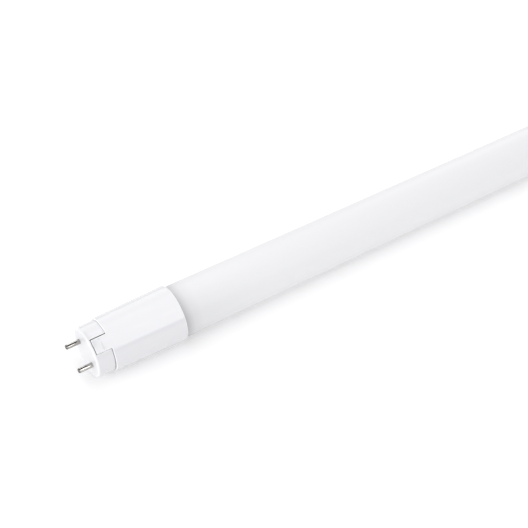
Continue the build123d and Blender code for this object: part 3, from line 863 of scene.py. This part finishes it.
# LEDs: each a white moulded frame round a window of silicone that holds the yellow phosphor. One
# row of them is soldered along the middle of the LED board.
LED_COUNT = 54
LED_PITCH = 9.2
LED_SIZE = (3.5, 2.8, 0.7)
LED_FOOT = -4.2
WINDOW_SIZE = (2.6, 1.9, 0.3)
WINDOW_LIFT = 0.12
frames = bmesh.new()
windows = bmesh.new()
for i in range(LED_COUNT):
    at = Vector(((i - (LED_COUNT - 1) / 2) * LED_PITCH, 0, LED_FOOT + LED_SIZE[2] / 2))
    block = bmesh.ops.create_cube(frames, size=1.0)["verts"]
    bmesh.ops.scale(frames, vec=LED_SIZE, verts=block)
    bmesh.ops.translate(frames, vec=at, verts=block)
    lid = max({f for v in block for f in v.link_faces}, key=lambda f: f.calc_center_median().z)
    bmesh.ops.inset_region(frames, faces=[lid], thickness=0.4)
    bmesh.ops.inset_region(frames, faces=[lid], thickness=0.12, depth=-0.25)
    gel = bmesh.ops.create_cube(windows, size=1.0)["verts"]
    bmesh.ops.scale(windows, vec=WINDOW_SIZE, verts=gel)
    bmesh.ops.translate(windows, vec=at + Vector((0, 0, WINDOW_LIFT)), verts=gel)
    crown = [e for v in gel for e in v.link_edges if min(w.co.z for w in e.verts) > at.z + 0.2]
    soften(windows, list(dict.fromkeys(crown)), width=0.1, segments=2)
frame_white = grained("led_frame", (1, 0.99, 0.96), 0.78, 0.86, 0.4, 1200.0, 0.2)[0]
phosphor, phosphor_shader = grained("led_phosphor", (1.0, 0.82, 0.22), 0.7, 0.88, 0.22, 3000.0, 0.3)
phosphor_shader.inputs["Coat Weight"].default_value = 0.6
piece("led_frames", frames, frame_white, "led", "led_packages")
piece("led_windows", windows, phosphor, "led")

# Small resistors: alumina chips with a black glaze on top and tinned ends, soldered flat on the LED
# board beside the LEDs.
chip_black = grained("chip_glaze", (1, 1, 1.02), 0.02, 0.045, 0.25, 2500.0, 0.3)[0]
dress(chip_black, "board_resistors")

# Driver chips: a bridge rectifier, a driver chip and a diode in matt black epoxy, soldered flat to
# the underside of the driver board.
epoxy = grained("black_epoxy", (1, 1, 1), 0.025, 0.05, 0.55, 1800.0, 0.5)[0]
dress(epoxy, "bridge_rectifier", "driver_chip", "output_diode")


def banded(name, axis, edges, colours, roughness):
    """A finish in bands along an axis: band edges in metres and one colour more than edges."""
    material, nodes, links, shader, vector = finish_nodes(name)
    split = nodes.new("ShaderNodeSeparateXYZ")
    links.new(vector, split.inputs["Vector"])
    result = None
    for i, colour in enumerate(colours):
        speckle = nodes.new("ShaderNodeTexNoise")
        speckle.inputs["Scale"].default_value = 700.0 + 90.0 * i
        drift = nodes.new("ShaderNodeValToRGB")
        drift.color_ramp.elements[0].color = tuple(0.85 * c for c in colour) + (1,)
        drift.color_ramp.elements[1].color = tuple(min(1.0, 1.1 * c) for c in colour) + (1,)
        links.new(vector, speckle.inputs["Vector"])
        links.new(speckle.outputs["Fac"], drift.inputs["Fac"])
        if result is None:
            result = drift.outputs["Color"]
            continue
        past = nodes.new("ShaderNodeMath")
        past.operation = "GREATER_THAN"
        past.inputs[1].default_value = edges[i - 1]
        pick = nodes.new("ShaderNodeMix")
        pick.data_type = "RGBA"
        links.new(split.outputs[axis], past.inputs[0])
        links.new(past.outputs[0], pick.inputs["Factor"])
        links.new(result, pick.inputs["A"])
        links.new(drift.outputs["Color"], pick.inputs["B"])
        result = pick.outputs["Result"]
    grain = nodes.new("ShaderNodeGroup")
    grain.node_tree = moulded_grain
    grain.inputs["Scale"].default_value = 900.0
    grain.inputs["Roughness"].default_value = roughness
    relief = nodes.new("ShaderNodeBump")
    relief.inputs["Strength"].default_value = 0.3
    relief.inputs["Distance"].default_value = 0.00006
    links.new(result, shader.inputs["Base Color"])
    links.new(vector, grain.inputs["Vector"])
    links.new(grain.outputs["Roughness"], shader.inputs["Roughness"])
    links.new(grain.outputs["Height"], relief.inputs["Height"])
    links.new(relief.outputs["Normal"], shader.inputs["Normal"])
    return material


# Electrolytic capacitors: aluminium cans in a dark shrink sleeve, with a black rubber bung at one
# end and the bare can at the other.
BUNG_DEPTH = 0.0007
CAN_END = 0.0004
for name in ("bulk_capacitor", "output_capacitor"):
    low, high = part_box(name)
    edges = (low[0] + BUNG_DEPTH, high[0] - CAN_END)
    colours = ((0.03, 0.03, 0.032), (0.02, 0.022, 0.05), (0.72, 0.73, 0.75))
    dress(banded(name + "_sleeve", "X", edges, colours, 0.3), name)

# Power inductor and input choke: grey ferrite cores wound with enamelled copper wire. The inductor
# lies along the board and the choke stands on it.
FERRITE = (0.05, 0.048, 0.047)
COPPER = (0.5, 0.19, 0.08)
for name, axis, number, margin in (("power_inductor", "X", 0, 0.002), ("input_choke", "Z", 2, 0.0012)):
    low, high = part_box(name)
    edges = (low[number] + margin, high[number] - margin)
    wound = banded(name + "_winding", axis, edges, (FERRITE, COPPER, FERRITE), 0.35)
    nodes, links = wound.node_tree.nodes, wound.node_tree.links
    turns = nodes.new("ShaderNodeTexWave")
    turns.bands_direction = axis
    turns.inputs["Scale"].default_value = 900.0
    ridges = nodes.new("ShaderNodeBump")
    ridges.inputs["Strength"].default_value = 0.6
    ridges.inputs["Distance"].default_value = 0.0001
    links.new(nodes["Mapping"].outputs["Vector"], turns.inputs["Vector"])
    links.new(turns.outputs["Fac"], ridges.inputs["Height"])
    links.new(nodes["Bump"].outputs["Normal"], ridges.inputs["Normal"])
    links.new(ridges.outputs["Normal"], nodes["Principled BSDF"].inputs["Normal"])
    dress(wound, name)

# Film capacitor, varistor and fusible resistor: a moulded box, a dipped disc and a coated body with
# plain tolerance bands between its pressed metal caps.
film_box = grained("film_box", (1.0, 0.45, 0.05), 0.5, 0.62, 0.38, 800.0, 0.25)[0]
dress(film_box, "film_capacitor")
dipped, dipped_shader = grained(
    "varistor_coat", (0.1, 0.28, 0.75), 0.45, 0.7, 0.3, 500.0, 0.6, variation=0.15
)
dipped_shader.inputs["Coat Weight"].default_value = 0.3
dress(dipped, "varistor")
low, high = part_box("fusible_resistor")
reach = high[1] - low[1]
BAND_EDGES = (0.2, 0.34, 0.4, 0.5, 0.56, 0.8)
edges = [low[1] + reach * part for part in BAND_EDGES]
METAL_CAP = (0.55, 0.54, 0.52)
COATING = (0.42, 0.5, 0.55)
BAND = (0.25, 0.12, 0.05)
colours = (METAL_CAP, COATING, BAND, COATING, BAND, COATING, METAL_CAP)
dress(banded("resistor_coat", "Y", edges, colours, 0.4), "fusible_resistor")

# Wires and posts: stranded copper in brown and blue PVC from the near pins, a brown wire that links
# the two far pins, and two tinned posts down to the LED board.
brown_pvc = grained("brown_pvc", (0.36, 0.16, 0.07), 0.55, 0.75, 0.4, 700.0, 0.2)[0]
blue_pvc = grained("blue_pvc", (0.06, 0.18, 0.6), 0.7, 0.9, 0.4, 700.0, 0.2)[0]
dress(brown_pvc, "live_wire", "far_link_wire")
dress(blue_pvc, "neutral_wire")
dress(pin_metal, "supply_posts")
